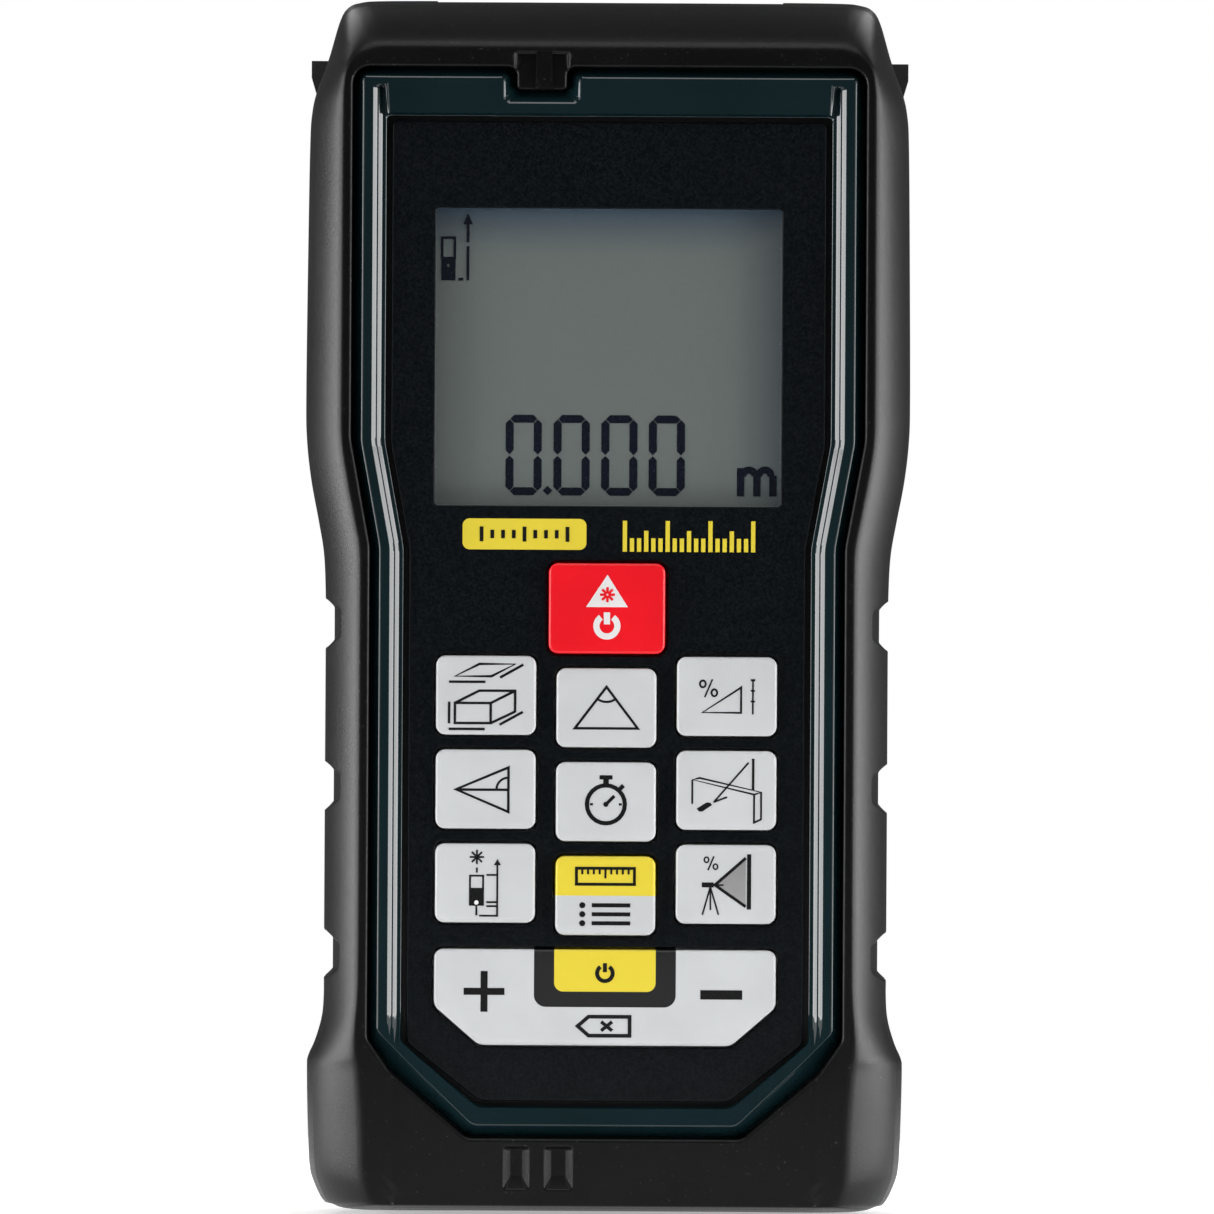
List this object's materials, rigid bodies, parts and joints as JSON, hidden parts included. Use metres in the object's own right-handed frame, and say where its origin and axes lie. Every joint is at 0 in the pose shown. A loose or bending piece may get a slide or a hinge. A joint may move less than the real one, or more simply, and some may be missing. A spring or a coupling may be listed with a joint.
{
  "type": "laser distance meter",
  "caption": "Hand-held laser distance meter: rubber-clad case with display, keypad, lens end, battery compartment, fold-out end bracket and tripod socket.",
  "frame": {"origin": "centre of the bottom of the bounding box, where the meter stands on its rear end", "axes": "+Z from the rear end to the lens end, the laser's direction; -Y out of the keypad; +X to the right as seen from the keypad side"},
  "size_m": [0.061, 0.031, 0.122],
  "materials": {
    "rubber_grip": "matt moulded rubber",
    "black_shell": "fine textured black plastic",
    "inner_plastic": "plain moulded plastic",
    "bezel_gloss": "polished, very dark teal",
    "panel_film": "fine grained hard coat",
    "clear_window": "clear, polished",
    "lens_glass": "coated, polished",
    "lcd_face": "reflective display behind glass",
    "silicone": "smooth silicone",
    "spring_steel": "nickel-plated",
    "screw_steel": "dark zinc-plated",
    "circuit_board": "solder mask",
    "brass": "turned",
    "cell_jacket": "printed shrink sleeve",
    "label_plate": "satin, blank",
    "key_red": "satin",
    "key_grey": "satin, printed"
  },
  "bodies": {
    "housing": {"front_grip": "rubber_grip", "rear_grip": "rubber_grip", "front_cover": "black_shell", "rear_cover": "black_shell", "lens_end_frame": "black_shell", "optics_frame": "inner_plastic", "lcd_frame": "inner_plastic", "buzzer": "inner_plastic", "bezel_frame": "bezel_gloss", "face_panel": "panel_film", "display_window": "clear_window", "laser_window": "clear_window", "receiver_lens": "lens_glass", "collimator_lens": "lens_glass", "lcd_glass": "lcd_face", "lcd_connector": "silicone", "key_mat": "silicone", "case_seal": "silicone", "battery_door_seal": "silicone", "dome_sheet": "spring_steel", "shield_can": "spring_steel", "contact_spring_1": "spring_steel", "contact_spring_2": "spring_steel", "contact_plate_1": "spring_steel", "contact_plate_2": "spring_steel", "contact_bridge": "spring_steel", "bracket_pin": "spring_steel", "case_screw_1": "screw_steel", "case_screw_2": "screw_steel", "case_screw_3": "screw_steel", "case_screw_4": "screw_steel", "main_board": "circuit_board", "receiver_board": "circuit_board", "laser_module": "brass", "tripod_insert": "brass", "battery_1": "cell_jacket", "battery_2": "cell_jacket", "type_plate": "label_plate"},
    "measure_key": {"measure_key": "key_red"},
    "area_volume_key": {"area_volume_key": "key_grey"},
    "triangle_key": {"triangle_key": "key_grey"},
    "slope_key": {"slope_key": "key_grey"},
    "pythagoras_key": {"pythagoras_key": "key_grey"},
    "timer_key": {"timer_key": "key_grey"},
    "trapezoid_key": {"trapezoid_key": "key_grey"},
    "reference_key": {"reference_key": "key_grey"},
    "units_history_key": {"units_history_key": "key_grey"},
    "profile_key": {"profile_key": "key_grey"},
    "adjust_rocker": {"adjust_rocker": "key_grey"},
    "rocker_carrier": {"rocker_carrier": "inner_plastic"},
    "battery_door": {"battery_door": "black_shell"},
    "end_bracket": {"end_bracket": "black_shell"}
  },
  "joints": [
    {"name": "measure_press", "type": "slide", "parent": "housing", "child": "measure_key", "axis": [0, 1, 0], "range_m": [0, 0.0005], "stiffness_N_per_m": 2000},
    {"name": "area_volume_press", "type": "slide", "parent": "housing", "child": "area_volume_key", "axis": [0, 1, 0], "range_m": [0, 0.0005], "stiffness_N_per_m": 2000},
    {"name": "triangle_press", "type": "slide", "parent": "housing", "child": "triangle_key", "axis": [0, 1, 0], "range_m": [0, 0.0005], "stiffness_N_per_m": 2000},
    {"name": "slope_press", "type": "slide", "parent": "housing", "child": "slope_key", "axis": [0, 1, 0], "range_m": [0, 0.0005], "stiffness_N_per_m": 2000},
    {"name": "pythagoras_press", "type": "slide", "parent": "housing", "child": "pythagoras_key", "axis": [0, 1, 0], "range_m": [0, 0.0005], "stiffness_N_per_m": 2000},
    {"name": "timer_press", "type": "slide", "parent": "housing", "child": "timer_key", "axis": [0, 1, 0], "range_m": [0, 0.0005], "stiffness_N_per_m": 2000},
    {"name": "trapezoid_press", "type": "slide", "parent": "housing", "child": "trapezoid_key", "axis": [0, 1, 0], "range_m": [0, 0.0005], "stiffness_N_per_m": 2000},
    {"name": "reference_press", "type": "slide", "parent": "housing", "child": "reference_key", "axis": [0, 1, 0], "range_m": [0, 0.0005], "stiffness_N_per_m": 2000},
    {"name": "units_history_press", "type": "slide", "parent": "housing", "child": "units_history_key", "axis": [0, 1, 0], "range_m": [0, 0.0005], "stiffness_N_per_m": 2000},
    {"name": "profile_press", "type": "slide", "parent": "housing", "child": "profile_key", "axis": [0, 1, 0], "range_m": [0, 0.0005], "stiffness_N_per_m": 2000},
    {"name": "rocker_press", "type": "slide", "parent": "housing", "child": "rocker_carrier", "axis": [0, 1, 0], "range_m": [0, 0.0005], "stiffness_N_per_m": 2500},
    {"name": "rocker_tilt", "type": "hinge", "parent": "rocker_carrier", "child": "adjust_rocker", "pos_m": [0, -0.0113, 0.0218], "axis": [0, 0, 1], "range_deg": [-0.9, 0.9], "stiffness_Nm_per_rad": 0.6},
    {"name": "battery_door_hinge", "type": "hinge", "parent": "housing", "child": "battery_door", "pos_m": [0, 0.014, 0.0332], "axis": [-1, 0, 0], "range_deg": [0, 100]},
    {"name": "end_bracket_hinge", "type": "hinge", "parent": "housing", "child": "end_bracket", "pos_m": [0, 0.0131, 0.0042], "axis": [-1, 0, 0], "range_deg": [0, 180]}
  ]
}
